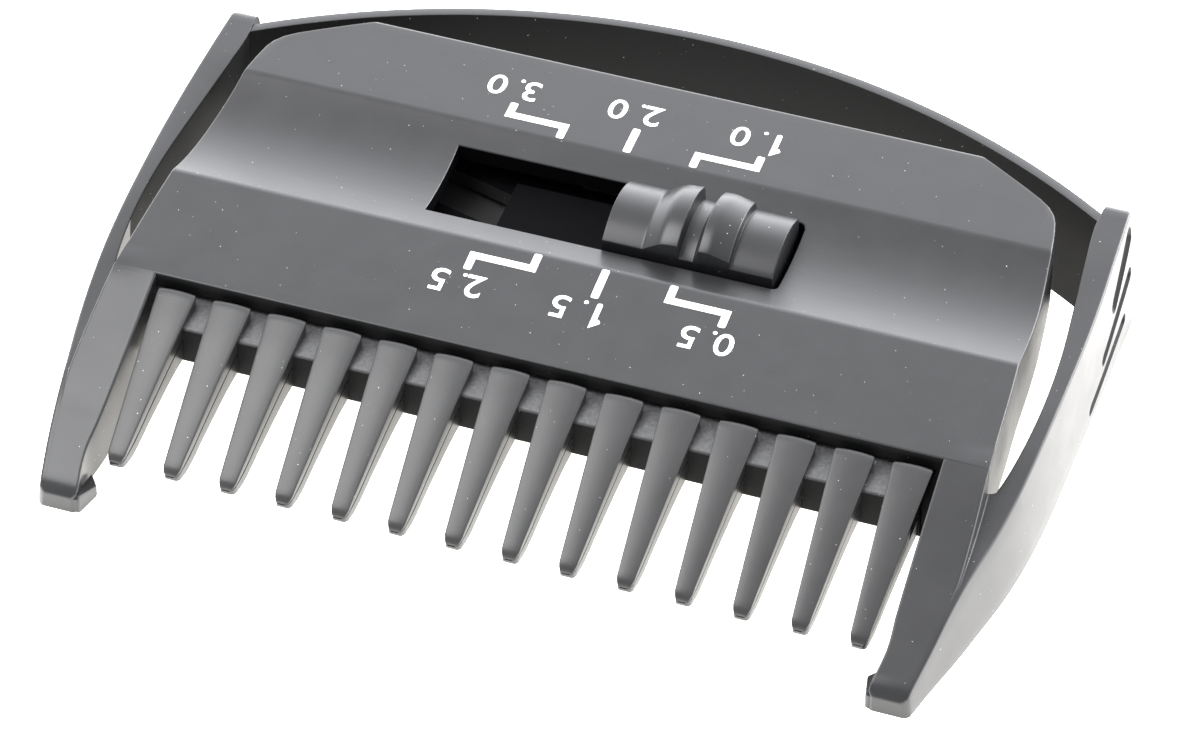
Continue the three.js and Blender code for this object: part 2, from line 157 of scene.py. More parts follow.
TIP_ROUND += [(0.5, 1.58, 0), (0.62, 1.66, 0)]  # y, top and bottom of the rounded tip


def wing_top(y):
    return smooth(WING_TOP, y)


def runner_underside(y):
    return float(np.interp(y, *zip(*RUNNER_UNDER)))


def wing_bulge(outer, flare, height):
    """The bowed outer face of a wing, between its top edge and its foot."""
    return [(outer + flare * out, height * up, None) for out, up in WING_BULGE]


def side_section(y, top=None, bottom=0.0):
    """Outline of a runner and its wing at y, with the wing's own points from WING_FIRST on."""
    low = top if top is not None else wing_top(y)
    ramp_start, ramp_height = RUNNER_START
    ramp = ramp_height + (y - ramp_start) * RUNNER_SLOPE if y > TIP_END else 0
    high = max(low + 0.004, ramp)
    pinch = TIP_PINCH * (1 - min(1.0, y / TIP_PINCH)) ** 2
    outer = smooth(WING_OUTER, y) - pinch
    inner = smooth(RUNNER_INNER, y) + pinch
    step = min(smooth(RUNNER_STEP, y), outer - WING_LEDGE)
    flare = smooth(WING_FLARE, y)
    root = smooth(WING_INNER, y)
    under = max(runner_underside(y), bottom)
    corners = [
        (inner, under, RUNNER_EDGE["foot"]),
        (inner, high, RUNNER_EDGE["inner"]),
        (step, high, min(RUNNER_EDGE["step"], (high - low) * 0.5)),
        (step + 0.02, low, min(RUNNER_EDGE["crease"], (high - low) * 0.4)),
        (outer, low, WING_EDGE["outer"]),
        *wing_bulge(outer, flare, low),
        (outer + flare, bottom, WING_EDGE["foot"]),
        (root + flare * 0.5, bottom, None),
        (root + flare * 0.3, max(under, bottom + 0.001), None),
    ]
    return [(x, y, z) for x, z in rounded(corners)]


def wing_section(y, inset=0.0, drop=0.0):
    """The free wing alone, from its inner top edge round to its inner foot."""
    low = wing_top(y) - drop
    outer = smooth(WING_OUTER, y) - inset
    flare = smooth(WING_FLARE, y)
    inner = smooth(WING_INNER, y)
    corners = [
        (inner, low, WING_EDGE["inner"]),
        (outer, low, WING_EDGE["outer"]),
        *wing_bulge(outer, flare, low),
        (outer + flare, 0, WING_EDGE["foot"]),
        (inner + flare, 0, None),
        (inner + flare * 0.6, WING_KNEE, None),
    ]
    return [(x, y, z) for x, z in rounded(corners)]


WING_FIRST = 15  # points of a side section before the wing's own


def side():
    """The right runner and wing as one closed shell."""
    builder = bmesh.new()
    sections = [side_section(y, top, bottom) for y, top, bottom in TIP_ROUND]
    sections += [side_section(y) for y in np.linspace(0.8, RUNNER_BACK, 38)]
    rings = [[builder.verts.new(point) for point in section] for section in sections]
    for ring, next_ring in zip(rings, rings[1:]):
        strip(builder, ring, next_ring)
    builder.faces.new(rings[0])
    last = rings[-1]
    builder.faces.new([last[-1]] + last[: WING_FIRST + 1])
    ring = last[WING_FIRST:]
    ends = [(WING_BACK - WING_CORNER * (1 - math.sin(a)), WING_CORNER * (1 - math.cos(a)))
            for a in np.radians([15, 30, 45, 60, 75, 88])]
    free = [(y, 0.0) for y in np.linspace(12.7, WING_BACK - WING_CORNER, 58)] + ends
    for y, drop in free:
        next_ring = [builder.verts.new(point) for point in wing_section(y, drop * 0.4, drop)]
        strip(builder, ring, next_ring)
        ring = next_ring
    builder.faces.new(ring)
    return new_piece("side", builder)


def mirrored(piece, name):
    """A copy of a piece on the other side of the middle."""
    builder = bmesh.new()
    builder.from_mesh(piece.data)
    for vertex in builder.verts:
        vertex.co.x = -vertex.co.x
    bmesh.ops.reverse_faces(builder, faces=builder.faces)
    mesh = bpy.data.meshes.new(name)
    builder.to_mesh(mesh)
    builder.free()
    other = bpy.data.objects.new(name, mesh)
    bpy.context.collection.objects.link(other)
    return other


def settled(piece):
    """Turns a piece's modifiers into plain mesh."""
    graph = bpy.context.evaluated_depsgraph_get()
    mesh = bpy.data.meshes.new_from_object(piece.evaluated_get(graph))
    piece.modifiers.clear()
    piece.data = mesh
    return piece


def combined(piece, tool, operation):
    """Joins another solid to a piece, or cuts it away, and takes the tool out of the scene."""
    step = piece.modifiers.new(operation.lower(), "BOOLEAN")
    step.operation = operation
    step.solver = "EXACT"
    step.object = tool
    settled(piece)
    bpy.data.objects.remove(tool)
    return piece


def shaded(piece, angle=32):
    """Smooth shading that breaks at real corners."""
    piece.data.shade_smooth()
    piece.data.set_sharp_from_angle(angle=math.radians(angle))
    even = piece.modifiers.new("even_normals", "WEIGHTED_NORMAL")
    even.keep_sharp = True
    return settled(piece)


# The front and back centre of each groove as (y, z), and its radius.
GROOVES = [
    ((29.7, 4.6), (33.1, 6.45), 0.62),
    ((27.4, 2.55), (32.8, 4.1), 0.45),
    ((24.9, 1.0), (31.5, 1.9), 0.4),
]


def grip_groove(front, back, radius, depth=0.42):
    """A long slot with round ends, sunk in a wing's outer face."""
    builder = bmesh.new()
    heading = math.atan2(back[1] - front[1], back[0] - front[0])
    rim = []
    for centre, turn in ((back, heading - math.pi / 2), (front, heading + math.pi / 2)):
        for angle in np.linspace(turn, turn + math.pi, 9):
            rim.append((centre, angle))
    levels = [(-depth, radius * 0.55), (-depth * 0.6, radius * 0.85), (0.02, radius), (1.5, radius + 0.1)]
    sections = []
    for out, reach in levels:
        section = []
        for centre, angle in rim:
            y = centre[0] + reach * math.cos(angle)
            z = centre[1] + reach * math.sin(angle)
            fall = max(0.0, 1 - z / wing_top(y))
            x = smooth(WING_OUTER, y) + smooth(WING_FLARE, y) * math.sin(fall * math.pi / 2) + out
            section.append((x, y, z))
        sections.append(section)
    loft(builder, sections)
    return new_piece("groove", builder)


FOOT_PLAN = [(22.3, 0.06, 0.1), (21.98, 0.1, 0.2), (21.6, 1.75, 0.12), (22.3, 2.7, 0.1)]
FOOT_MIDDLE = (22.0, 1.4)
FOOT_TOP = [(0, 1.18), (0.5, 1.1), (1.2, 0.86), (2.9, 0.62)]
FOOT_LEVELS = [(0, 0.08), (0.1, 0), (0.86, 0), (1, 0.1)]  # share of the height, inset


def hooked_foot():
    """The ledge that turns in under the clipper's blade at a runner's tip."""
    builder = bmesh.new()
    plan = rounded(FOOT_PLAN, 4)
    sections = []
    for level, inset in FOOT_LEVELS:
        section = []
        for x, y in plan:
            near_x = x + (FOOT_MIDDLE[0] - x) * inset
            near_y = y + (FOOT_MIDDLE[1] - y) * inset
            section.append((near_x, near_y, level * smooth(FOOT_TOP, y)))
        sections.append(section)
    loft(builder, sections)
    return new_piece("foot", builder)


right_side = combined(side(), hooked_foot(), "UNION")
for groove in GROOVES:
    combined(right_side, grip_groove(*groove), "DIFFERENCE")
left_side = mirrored(right_side, "left_side")

# ---- Body moulding: top panel ----
# A thin tray with skirts, moulded in one with the sides. Its top has a shallow valley across it,
# with the thumb slide's slot in the valley, and its rear corners are cut off at a slant.
PANEL_SIDE = [(12, 24.76), (12.4, 24.74), (14.5, 24.6), (17.5, 24.4)]
PANEL_SIDE += [(20, 24.2), (23, 24.05), (25, 23.9), (27, 23.66), (28.6, 23.45), (30.0, 23.2)]
PANEL_SIDE += [(30.9, 22.95), (31.5, 22.6), (32.1, 21.9), (33.0, 20.4), (33.8, 19.0), (34.5, 17.7)]
PANEL_DEPTH = 4.75
PANEL_BACK = 34.5
PANEL_ROW = 0.5
PANEL_EDGE = {"front": 0.14, "valley": 0.4, "back": 0.26, "side": 0.14, "foot": 0.08}
RUNNER_LINE = 22.3  # x of a line of points along the top, over the runners' inner walls
VALLEY = {"front": 7.3, "back": 16.1, "front_rise": 0.45, "back_rise": 0.13, "sag": 0.8}
SLOT = {"half": 10.1, "front": 9.12, "back": 14.48}
SLOT_CORNER = 0.34
SLOT_STEPS = [0, 0.02, 0.08, 0.18, 0.32]
SKIRT = 1.2
ROOF = 1.35
LIP = 0.92  # roof over the comb's bar
HOLLOW_HALF = 22.24
HOLLOW = [(-2, LIP), (3, LIP), (3.01, ROOF), (12, ROOF), (16, ROOF), (18, ROOF), (20.9, ROOF)]


def panel_profile():
    """Top of the panel from front edge to rear edge, in deck coordinates."""
    back = (PANEL_BACK - DECK[0]) / math.cos(TILT)
    corners = [(0, -2, None), (0, 0, PANEL_EDGE["front"])]
    corners.append((VALLEY["front"], VALLEY["front_rise"], PANEL_EDGE["valley"]))
    for t in np.linspace(0.05, 0.95, 22):
        chord = VALLEY["front_rise"] + (VALLEY["back_rise"] - VALLEY["front_rise"]) * t
        v = VALLEY["front"] + (VALLEY["back"] - VALLEY["front"]) * t
        corners.append((v, chord - VALLEY["sag"] * 4 * t * (1 - t), None))
    corners.append((VALLEY["back"], VALLEY["back_rise"], PANEL_EDGE["valley"]))
    corners += [(back, 0, PANEL_EDGE["back"]), (back, -2, None)]
    return rounded(corners, 5)[1:-1]


PROFILE = panel_profile()


def panel_rise(v):
    """Height of the panel's top over the deck, at v."""
    return float(np.interp(v, *zip(*PROFILE[4:-4])))


def panel_height(y):
    """Height of the panel's top at y."""
    rows = [deck(v, w) for v, w in PROFILE]
    return float(np.interp(y, [row[0] for row in rows], [row[1] for row in rows]))


def skirt_foot(y):
    """Height of the skirts' lower edge at y."""
    return deck(0, -PANEL_DEPTH)[1] + (y - DECK[0]) * math.tan(TILT)


def panel_block():
    """The panel as a solid block, from its top to the skirts' lower edges."""
    builder = bmesh.new()
    sections = []
    dense = []
    for (v0, w0), (v1, w1) in zip(PROFILE, PROFILE[1:]):
        pieces = max(1, int((v1 - v0) / PANEL_ROW))
        dense += [(v0 + (v1 - v0) * k / pieces, w0 + (w1 - w0) * k / pieces) for k in range(pieces)]
    for v, w in dense + [PROFILE[-1]]:
        y, z = deck(v, w)
        half = smooth(PANEL_SIDE, y)
        foot = skirt_foot(y)
        inner = min(RUNNER_LINE, half - 0.3)
        corners = [
            (-half, foot, PANEL_EDGE["foot"]),
            (-half, z, PANEL_EDGE["side"]),
            (-inner, z, None),
            (inner, z, None),
            (half, z, PANEL_EDGE["side"]),
            (half, foot, PANEL_EDGE["foot"]),
        ]
        sections.append([(x, y, height) for x, height in rounded(corners)])
    loft(builder, sections)
    return new_piece("panel", builder)


def panel_hollow():
    """The space between the skirts, under the roof."""
    builder = bmesh.new()
    sections = []
    for v, roof in HOLLOW:
        y, z = deck(v, -roof)
        half = min(smooth(PANEL_SIDE, y) - SKIRT, HOLLOW_HALF)
        sections.append([(-half, y, -1), (-half, y, z), (half, y, z), (half, y, -1)])
    loft(builder, sections)
    return new_piece("hollow", builder)


def slot_cutter(chamfer=0.045):
    """The thumb slide's slot, with chamfered edges and rounded corners at its right end."""
    builder = bmesh.new()
    rows = [SLOT["front"] + step for step in SLOT_STEPS]
    rows += list(np.linspace(SLOT["front"], SLOT["back"], 10)[1:-1])
    rows += [SLOT["back"] - step for step in reversed(SLOT_STEPS)]
    middle = (SLOT["front"] + SLOT["back"]) / 2
    sections = []
    for level in ("below", "neck", "mouth", "above"):
        wide = 1 + chamfer / (middle - SLOT["front"]) if level in ("mouth", "above") else 1
        half = SLOT["half"] + (chamfer if wide > 1 else 0)
        loop = [(-half, v) for v in rows]
        for v in reversed(rows):
            edge = min(v - SLOT["front"], SLOT["back"] - v, SLOT_CORNER)
            arc = math.sqrt(SLOT_CORNER ** 2 - (SLOT_CORNER - edge) ** 2)
            loop.append((half - SLOT_CORNER + arc, v))
        section = []
        for x, v in loop:
            lift = {"below": -3, "above": 2}.get(level)
            if lift is None:
                lift = panel_rise(v) + (-chamfer if level == "neck" else 0.01)
            along = middle + (v - middle) * wide
            section.append((x, *deck(along, lift)))
        sections.append(section)
    loft(builder, sections)
    return new_piece("slot", builder)


SCREWS = [(19.9, 5.2), (-19.9, 5.2), (19.0, 17.8), (-19.0, 17.8)]
BOSS = [(1.9, -1.2), (1.9, -2.7), (1.1, -2.7), (1.1, -1.4)]  # radius and height of each rim


def turned(x, v, outline):
    """A round solid that stands on the deck at (x, v), from the radius and height of each ring."""
    builder = bmesh.new()
    sections = []
    for radius, w in outline:
        section = []
        for angle in np.linspace(0, 2 * math.pi, 24, endpoint=False):
            section.append((x + radius * math.cos(angle), *deck(v + radius * math.sin(angle), w)))
        sections.append(section)
    loft(builder, sections)
    return new_piece("turned", builder)


panel = combined(panel_block(), panel_hollow(), "DIFFERENCE")
combined(panel, slot_cutter(), "DIFFERENCE")
for place in SCREWS:
    combined(panel, turned(*place, BOSS), "UNION")

# ---- Body moulding: rear bridge ----
# A thin upright arc, moulded in one with the wings, that ties them together behind the panel. Its
# top is a flat rail.
BRIDGE = {"radius": 44.65, "back": 41.0, "reach": 25.3, "foot": 0.3, "top": 7.5, "rail": 0.62}
BRIDGE_DRAFT = 0.03
BRIDGE_EDGE = {"top": 0.06, "foot": 0.08}


def bridge():
    """The whole arc, its ends inside the wings."""
    builder = bmesh.new()
    centre = BRIDGE["back"] - BRIDGE["radius"]
    corners = [
        (0, BRIDGE["foot"], BRIDGE_EDGE["foot"]),
        (0, BRIDGE["top"], BRIDGE_EDGE["top"]),
        (-BRIDGE["rail"], BRIDGE["top"], BRIDGE_EDGE["top"]),
        (-BRIDGE["rail"] - BRIDGE_DRAFT, BRIDGE["foot"], BRIDGE_EDGE["foot"]),
    ]
    sections = []
    for t in np.linspace(-1, 1, 72):
        section = []
        for out, z in rounded(corners, 3):
            radius = BRIDGE["radius"] + out
            angle = math.asin(BRIDGE["reach"] / radius) * t
            section.append((radius * math.sin(angle), centre + radius * math.cos(angle), z))
        sections.append(section)
    loft(builder, sections)
    return new_piece("bridge", builder)

# ---- Body moulding: joined, in charcoal plastic ----
# The panel, sides and bridge are one moulding, in pigmented plastic off a finely textured mould
# tool: a faint mottle, a fine grain that breaks up the sheen, and a few specks of white dust. The
# inner faces of the bridge and wings and the panel's front face over the comb are painted with
# shade in a darker, rougher copy of the plastic, and the slot's inside in near-black.
EASED = {"reach": 1.2, "beyond": 22.9, "above": 6.0}
WING_SHADE = {"beyond": 24.3, "behind": 17.0}
SLOT_SHADE = {"half": 10.3, "front": 21.3, "back": 27.3, "depth": 0.12}
FACE_REACH = 0.4  # how far a face's middle may lie from the plane it belongs to
MIX_A, MIX_B, MIX_RESULT = 6, 7, 2  # the colour sockets of a Mix node


def eased_corners(piece):
    """Eases the crease between the panel's front corners and the runners, away from the teeth."""
    mesh = piece.data
    normals = [Vector(corner.vector) for corner in mesh.corner_normals]
    slope = math.atan(RUNNER_SLOPE)
    runner_up = Vector((0, -math.sin(slope), math.cos(slope)))
    panel_up = Vector((0, -math.sin(TILT), math.cos(TILT)))
    for face in mesh.polygons:
        if face.normal.z < 0.85:
            continue
        for corner, index in zip(face.loop_indices, face.vertices):
            x, y, z = mesh.vertices[index].co * 1000
            past = y - tip_y * 1000 - DECK[0]
            if abs(x) > EASED["beyond"] and abs(past) < EASED["reach"] and z > EASED["above"]:
                t = 0.5 + past / EASED["reach"] / 2
                normals[corner] = runner_up.lerp(panel_up, t * t * (3 - 2 * t)).normalized()
    mesh.normals_split_custom_set(normals)


def group_tree(name, inputs, outputs):
    """A shader node group with named number inputs, and its two ends."""
    tree = bpy.data.node_groups.new(name, "ShaderNodeTree")
    for label, value in inputs:
        socket = tree.interface.new_socket(label, in_out="INPUT", socket_type="NodeSocketFloat")
        socket.default_value = value
    for label, kind in outputs:
        tree.interface.new_socket(label, in_out="OUTPUT", socket_type=kind)
    return tree, tree.nodes.new("NodeGroupInput"), tree.nodes.new("NodeGroupOutput")


def wired(tree, kind, links=(), **settings):
    """Adds a node, sets its properties and plain sockets, and links its inputs."""
    node = tree.nodes.new(kind)
    for key, value in settings.items():
        setattr(node, key, value)
    for socket, source in links:
        if hasattr(source, "links"):
            tree.links.new(source, node.inputs[socket])
        else:
            node.inputs[socket].default_value = source
    return node


def millimetres(tree):
    """Object coordinates in millimetres."""
    spot = wired(tree, "ShaderNodeTexCoord").outputs["Object"]
    return wired(tree, "ShaderNodeVectorMath", [(0, spot), ("Scale", 1000.0)], operation="SCALE").outputs[0]


def moulded_grain():
    """Fine mould texture: a bumped normal and a slow mottle."""
    inputs = [("Grain per mm", 9.0), ("Depth", 0.2), ("Mottle per mm", 0.5)]
    outputs = [("Normal", "NodeSocketVector"), ("Mottle", "NodeSocketFloat")]
    tree, given, result = group_tree("moulded_grain", inputs, outputs)
    spot = millimetres(tree)
    grain_scale = given.outputs["Grain per mm"]
    mottle_scale = given.outputs["Mottle per mm"]
    grain = wired(tree, "ShaderNodeTexNoise", [("Vector", spot), ("Scale", grain_scale), ("Detail", 2.0)])
    mottle = wired(tree, "ShaderNodeTexNoise", [("Vector", spot), ("Scale", mottle_scale), ("Detail", 3.0)])
    bump = wired(tree, "ShaderNodeBump", [("Strength", given.outputs["Depth"]), ("Distance", 0.00002),
                                          ("Height", grain.outputs["Fac"])])
    tree.links.new(bump.outputs[0], result.inputs["Normal"])
    tree.links.new(mottle.outputs["Fac"], result.inputs["Mottle"])
    return tree


def dust_specks():
    """Sparse bright specks, as a mask."""
    inputs = [("Specks per mm", 2.2), ("Size", 0.05)]
    tree, given, result = group_tree("dust_specks", inputs, [("Mask", "NodeSocketFloat")])
    spot = millimetres(tree)
    cells = wired(tree, "ShaderNodeTexVoronoi", [("Vector", spot), ("Scale", given.outputs["Specks per mm"])])
    lot = wired(tree, "ShaderNodeSeparateColor", [(0, cells.outputs["Color"])])
    size = wired(tree, "ShaderNodeMath", [(0, lot.outputs[0]), (1, given.outputs["Size"])],
                 operation="MULTIPLY")
    near = wired(tree, "ShaderNodeMath", [(0, cells.outputs["Distance"]), (1, size.outputs[0])],
                 operation="LESS_THAN")
    tree.links.new(near.outputs[0], result.inputs["Mask"])
    return tree


GRAIN = moulded_grain()
DUST = dust_specks()
DUST_COLOUR = (0.6, 0.6, 0.58, 1)


def plastic(name, deep, light, roughness, grain=9.0, depth=0.2, specks=0.055, mottle=0.5, gloss=0.5):
    """A moulded plastic that wanders between two colours and a roughness either side of the given one."""
    material = bpy.data.materials.new(name)
    material.use_nodes = True
    tree = material.node_tree
    tree.nodes.clear()
    skin = wired(tree, "ShaderNodeGroup", node_tree=GRAIN)
    skin.inputs["Grain per mm"].default_value = grain
    skin.inputs["Depth"].default_value = depth
    skin.inputs["Mottle per mm"].default_value = mottle
    dust = wired(tree, "ShaderNodeGroup", node_tree=DUST)
    dust.inputs["Size"].default_value = specks
    tone = wired(tree, "ShaderNodeMix", [("Factor", skin.outputs["Mottle"]), (MIX_A, (*deep, 1)),
                                         (MIX_B, (*light, 1))], data_type="RGBA")
    dusty = wired(tree, "ShaderNodeMix", [("Factor", dust.outputs["Mask"]), (MIX_A, tone.outputs[MIX_RESULT]),
                                          (MIX_B, DUST_COLOUR)], data_type="RGBA")
    rough = wired(tree, "ShaderNodeMapRange", [("Value", skin.outputs["Mottle"]),
                                               ("To Min", roughness - 0.05), ("To Max", roughness + 0.05)])
    shader = wired(tree, "ShaderNodeBsdfPrincipled", [("Base Color", dusty.outputs[MIX_RESULT]),
                                                      ("Roughness", rough.outputs[0]),
                                                      ("Normal", skin.outputs["Normal"]),
                                                      ("Specular IOR Level", gloss)])
    wired(tree, "ShaderNodeOutputMaterial", [("Surface", shader.outputs[0])])
    return material


def dressed_in(piece, *materials):
    """Gives a piece its materials, the main one first."""
    piece.data.materials.clear()
    for material in materials:
        piece.data.materials.append(material)


def face_middle(face):
    """Middle of a face in millimetres, with y from the runner tips."""
    return face.center.x * 1000, (face.center.y - tip_y) * 1000, face.center.z * 1000


body = panel
for part in (right_side, left_side, bridge()):
    combined(body, part, "UNION")
body.name = "body_moulding"
shaded(body)
eased_corners(body)
charcoal = plastic("charcoal_plastic", (0.013, 0.0132, 0.0142), (0.019, 0.0193, 0.0205), 0.34)
# Darker, rougher charcoal: painted shade for the shaded faces of the body and the comb.
rough_painted_shade = plastic("rough_charcoal_painted_shade", (0.004, 0.0041, 0.0044), (0.008, 0.0081, 0.0086), 0.6,
                 grain=6.0, depth=0.3, gloss=0.1)
# Near-black: painted shade for the slot's inside, the carriage, the tongue's top and the bar's ends.
shadow_black = plastic("painted_shade_black", (0.0018, 0.0018, 0.0022), (0.003, 0.003, 0.0036), 0.7,
                       specks=0.0, gloss=0.03)
dressed_in(body, charcoal, rough_painted_shade, shadow_black)
# Painted shade: the bridge's and wings' inner faces and the panel's front face over the comb take the darker
# charcoal, and the slot's inside the near-black.
inner_bridge = BRIDGE["radius"] - BRIDGE["rail"] + 0.02
bridge_centre = Vector((0, BRIDGE["back"] - BRIDGE["radius"]))
for face in body.data.polygons:
    x, y, z = face_middle(face)
    out = Vector((x, y)) - bridge_centre
    on_bridge = inner_bridge - 2 * FACE_REACH < out.length < inner_bridge
    inside_bridge = on_bridge and out.normalized().dot(face.normal.xy) < -0.8
    beside_wing = y > WING_SHADE["behind"] and abs(x) > WING_SHADE["beyond"]
    inside_wing = beside_wing and face.normal.x * math.copysign(1, x) < -0.7
    near_edge = abs(y - deck(0, -0.5)[0]) < FACE_REACH and abs(x) < RUNNER_LINE
    over_comb = near_edge and face.normal.y < -0.9
    in_slot = abs(x) < SLOT_SHADE["half"] and SLOT_SHADE["front"] < y < SLOT_SHADE["back"]
    face.material_index = 1 if inside_bridge or inside_wing or over_comb else 0
    if in_slot and panel_height(y) - z > SLOT_SHADE["depth"]:
        face.material_index = 2
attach(body, "frame")
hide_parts("body_frame")

# ---- Printed scale ----
# White ink, pad-printed on the panel's two flats: a stroke for each setting, stepped sideways
# where the numeral wouldn't fit, and the cutting length beside it, read from the clipper's end.
INK_RISE = 0.012
INK_THICKNESS = 0.02
STROKE_WIDTH = 0.44


def film_on_panel(flat):
    """Turns a flat mesh into a thin closed film that follows the panel's top."""
    film = bmesh.new()
    upper, lower = [], []
    flat.verts.index_update()
    for vertex in flat.verts:
        x, y, _ = vertex.co
        top = panel_height(y) + INK_RISE
        upper.append(film.verts.new((x, y, top)))
        lower.append(film.verts.new((x, y, top - INK_THICKNESS)))
    for face in flat.faces:
        order = [vertex.index for vertex in face.verts]
        film.faces.new([upper[i] for i in order])
        film.faces.new([lower[i] for i in reversed(order)])
    for edge in flat.edges:
        if edge.is_boundary:
            i, j = (vertex.index for vertex in edge.verts)
            film.faces.new((upper[i], upper[j], lower[j], lower[i]))
    flat.free()
    return film


def stroke(points, width=STROKE_WIDTH):
    """A bent stroke of even width with mitred corners."""
    lines = [Vector(point) for point in points]
    left, right = [], []
    for i, here in enumerate(lines):
        ways = []
        if i > 0:
            ways.append((here - lines[i - 1]).normalized())
        if i < len(lines) - 1:
            ways.append((lines[i + 1] - here).normalized())
        normals = [Vector((-way.y, way.x)) for way in ways]
        mitre = sum(normals, Vector((0, 0)))
        mitre = mitre / mitre.dot(normals[0]) * width / 2
        left.append(here + mitre)
        right.append(here - mitre)
    inner = [0.02] * (len(lines) - 2)
    radii = [0.12, *inner, 0.12]
    corners = [(spot.x, spot.y, radius) for spot, radius in zip(left, radii)]
    corners += [(spot.x, spot.y, radius) for spot, radius in zip(reversed(right), radii)]
    return rounded(corners, 3)


def flat_outline(points):
    """A closed outline as one flat face."""
    builder = bmesh.new()
    builder.faces.new([builder.verts.new((x, y, 0)) for x, y in points])
    return builder


def glyph(letter, x, y, height, stretch=1.08):
    """One character of the scale as a flat mesh, its top towards the teeth."""
    curve = bpy.data.curves.new("glyph", "FONT")
    curve.body = letter
    curve.offset = 0.006
    curve.resolution_u = 4
    letters = bpy.data.objects.new("glyph", curve)
    bpy.context.collection.objects.link(letters)
    mesh = bpy.data.meshes.new_from_object(letters.evaluated_get(bpy.context.evaluated_depsgraph_get()))
    bpy.data.objects.remove(letters)
    builder = bmesh.new()
    builder.from_mesh(mesh)
    tops = [vertex.co.y for vertex in builder.verts]
    sides = [vertex.co.x for vertex in builder.verts]
    size = height / (max(tops) - min(tops))
    middle = ((max(sides) + min(sides)) / 2, (max(tops) + min(tops)) / 2)
    for vertex in builder.verts:
        flat_x = (vertex.co.x - middle[0]) * size * stretch
        flat_y = (vertex.co.y - middle[1]) * size
        vertex.co = Vector((x - flat_x, y - flat_y, 0))
    return builder


DIGIT_HEIGHT = 1.54
DIGIT_OFFSET = 1.0
ONE = [(1.42, -0.42), (1.08, -0.7), (1.08, 0.76)]
ONE_WIDTH = 0.3
POINT = {"offset": 0.3, "drop": 0.66, "size": 0.23}


def numeral(text, x, y):
    """The three flat meshes of a numeral such as 2.5."""
    if text[0] == "1":
        whole = flat_outline(stroke([(x + right, y + up) for right, up in ONE], ONE_WIDTH))
    else:
        whole = glyph(text[0], x + DIGIT_OFFSET, y, DIGIT_HEIGHT)
    point = glyph(".", x + POINT["offset"], y + POINT["drop"], POINT["size"])
    tenths = glyph(text[2], x - DIGIT_OFFSET, y, DIGIT_HEIGHT)
    return [whole, point, tenths]


MARKS = [
    ("0.5", (7.81, 16.4), [(5.0, 19.55), (5.0, 18.5), (8.28, 18.5), (8.28, 17.5)]),
    ("1.0", (5.65, 31.8), [(2.9, 28.65), (2.9, 29.65), (6.28, 29.65), (6.28, 30.6)]),
    ("1.5", (0.51, 16.45), [(1.1, 19.56), (1.1, 17.5)]),
    ("2.0", (-1.49, 31.8), [(-0.95, 28.67), (-0.95, 30.6)]),
    ("2.5", (-6.39, 16.4), [(-2.77, 19.56), (-2.77, 18.5), (-6.18, 18.5), (-6.18, 17.45)]),
    ("3.0", (-8.54, 31.65), [(-4.84, 28.6), (-4.84, 29.55), (-8.1, 29.55), (-8.1, 30.5)]),
]
ink_builder = bmesh.new()
for text, spot, path in MARKS:
    for flat in (*numeral(text, *spot), flat_outline(stroke(path))):
        film = film_on_panel(flat)
        carrier = bpy.data.meshes.new("carrier")
        film.to_mesh(carrier)
        film.free()
        ink_builder.from_mesh(carrier)
        bpy.data.meshes.remove(carrier)
scale_print = new_piece("printed_scale", ink_builder)
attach(scale_print, "frame")
ink = plastic("white_ink", (0.86, 0.86, 0.86), (0.93, 0.93, 0.93), 0.5, grain=14.0, depth=0.1, specks=0.0)
scale_print.data.materials.append(ink)

# ---- Comb moulding ----
# Fourteen tapered teeth on a cross bar, moulded with the tongue that slides between the carriage
# and the back plate. The teeth have draft, rounded edges and the mould's parting line on each flank.
TEETH = 14
TOOTH_PITCH = 3.2
TOOTH_CROWN = 0.08
TOOTH_WIDTH = {"front": 2.48, "length": 9.32, "half": 0.475, "gain": 0.63, "draft": 0.065}
TOOTH_EDGE = {"top": 0.06, "foot": 0.12}
PARTING = {"lift": 0.1, "depth": 0.15, "full_at": 1.6}
TOOTH_TOP = [(2.46, 2.28), (2.9, 2.52), (4.5, 3.28), (6.5, 4.22)]
TOOTH_TOP += [(8.5, 5.14), (10, 5.8), (11.3, 6.32), (12.1, 6.64)]
TOOTH_FOOT = [(2.46, 1.62), (3.4, 1.42), (6.3, 2.16), (9.2, 2.9), (11.2, 3.1), (12.1, 3.2)]
TOOTH_NOSE = [(2.44, 0.5, 0.3), (2.46, 0.66, 0.2), (2.52, 0.8, 0.11), (2.62, 0.9, 0.04), (2.8, 1.0, 0)]
TOOTH_ROOT = [(11.6, 0.0), (11.78, 0.03), (11.9, 0.1), (11.98, 0.2), (12.03, 0.34)]
BAR = {"half": 21.8, "v0": -2.45, "v1": 2.5, "w0": -3.75, "w1": -1.22, "radius": 0.16}
TONGUE = {"half": 16.3, "v0": 2.0, "v1": 17.6, "w0": -3.75, "w1": -2.75, "radius": 0.1}
PLATE_EDGE = 0.08
CAM = {"x": 4.9, "spread": 8.6, "v": 11.8, "travel": 9.8, "back": 14.3, "radius": 1.3}
# Where the comb's painted shade and painted light go.
BAR_PAINTED_SHADE_AND_LIGHT = {"behind": 12.7, "half": 21.7, "end": 21.65, "height": -2.4, "skin": -1.1}


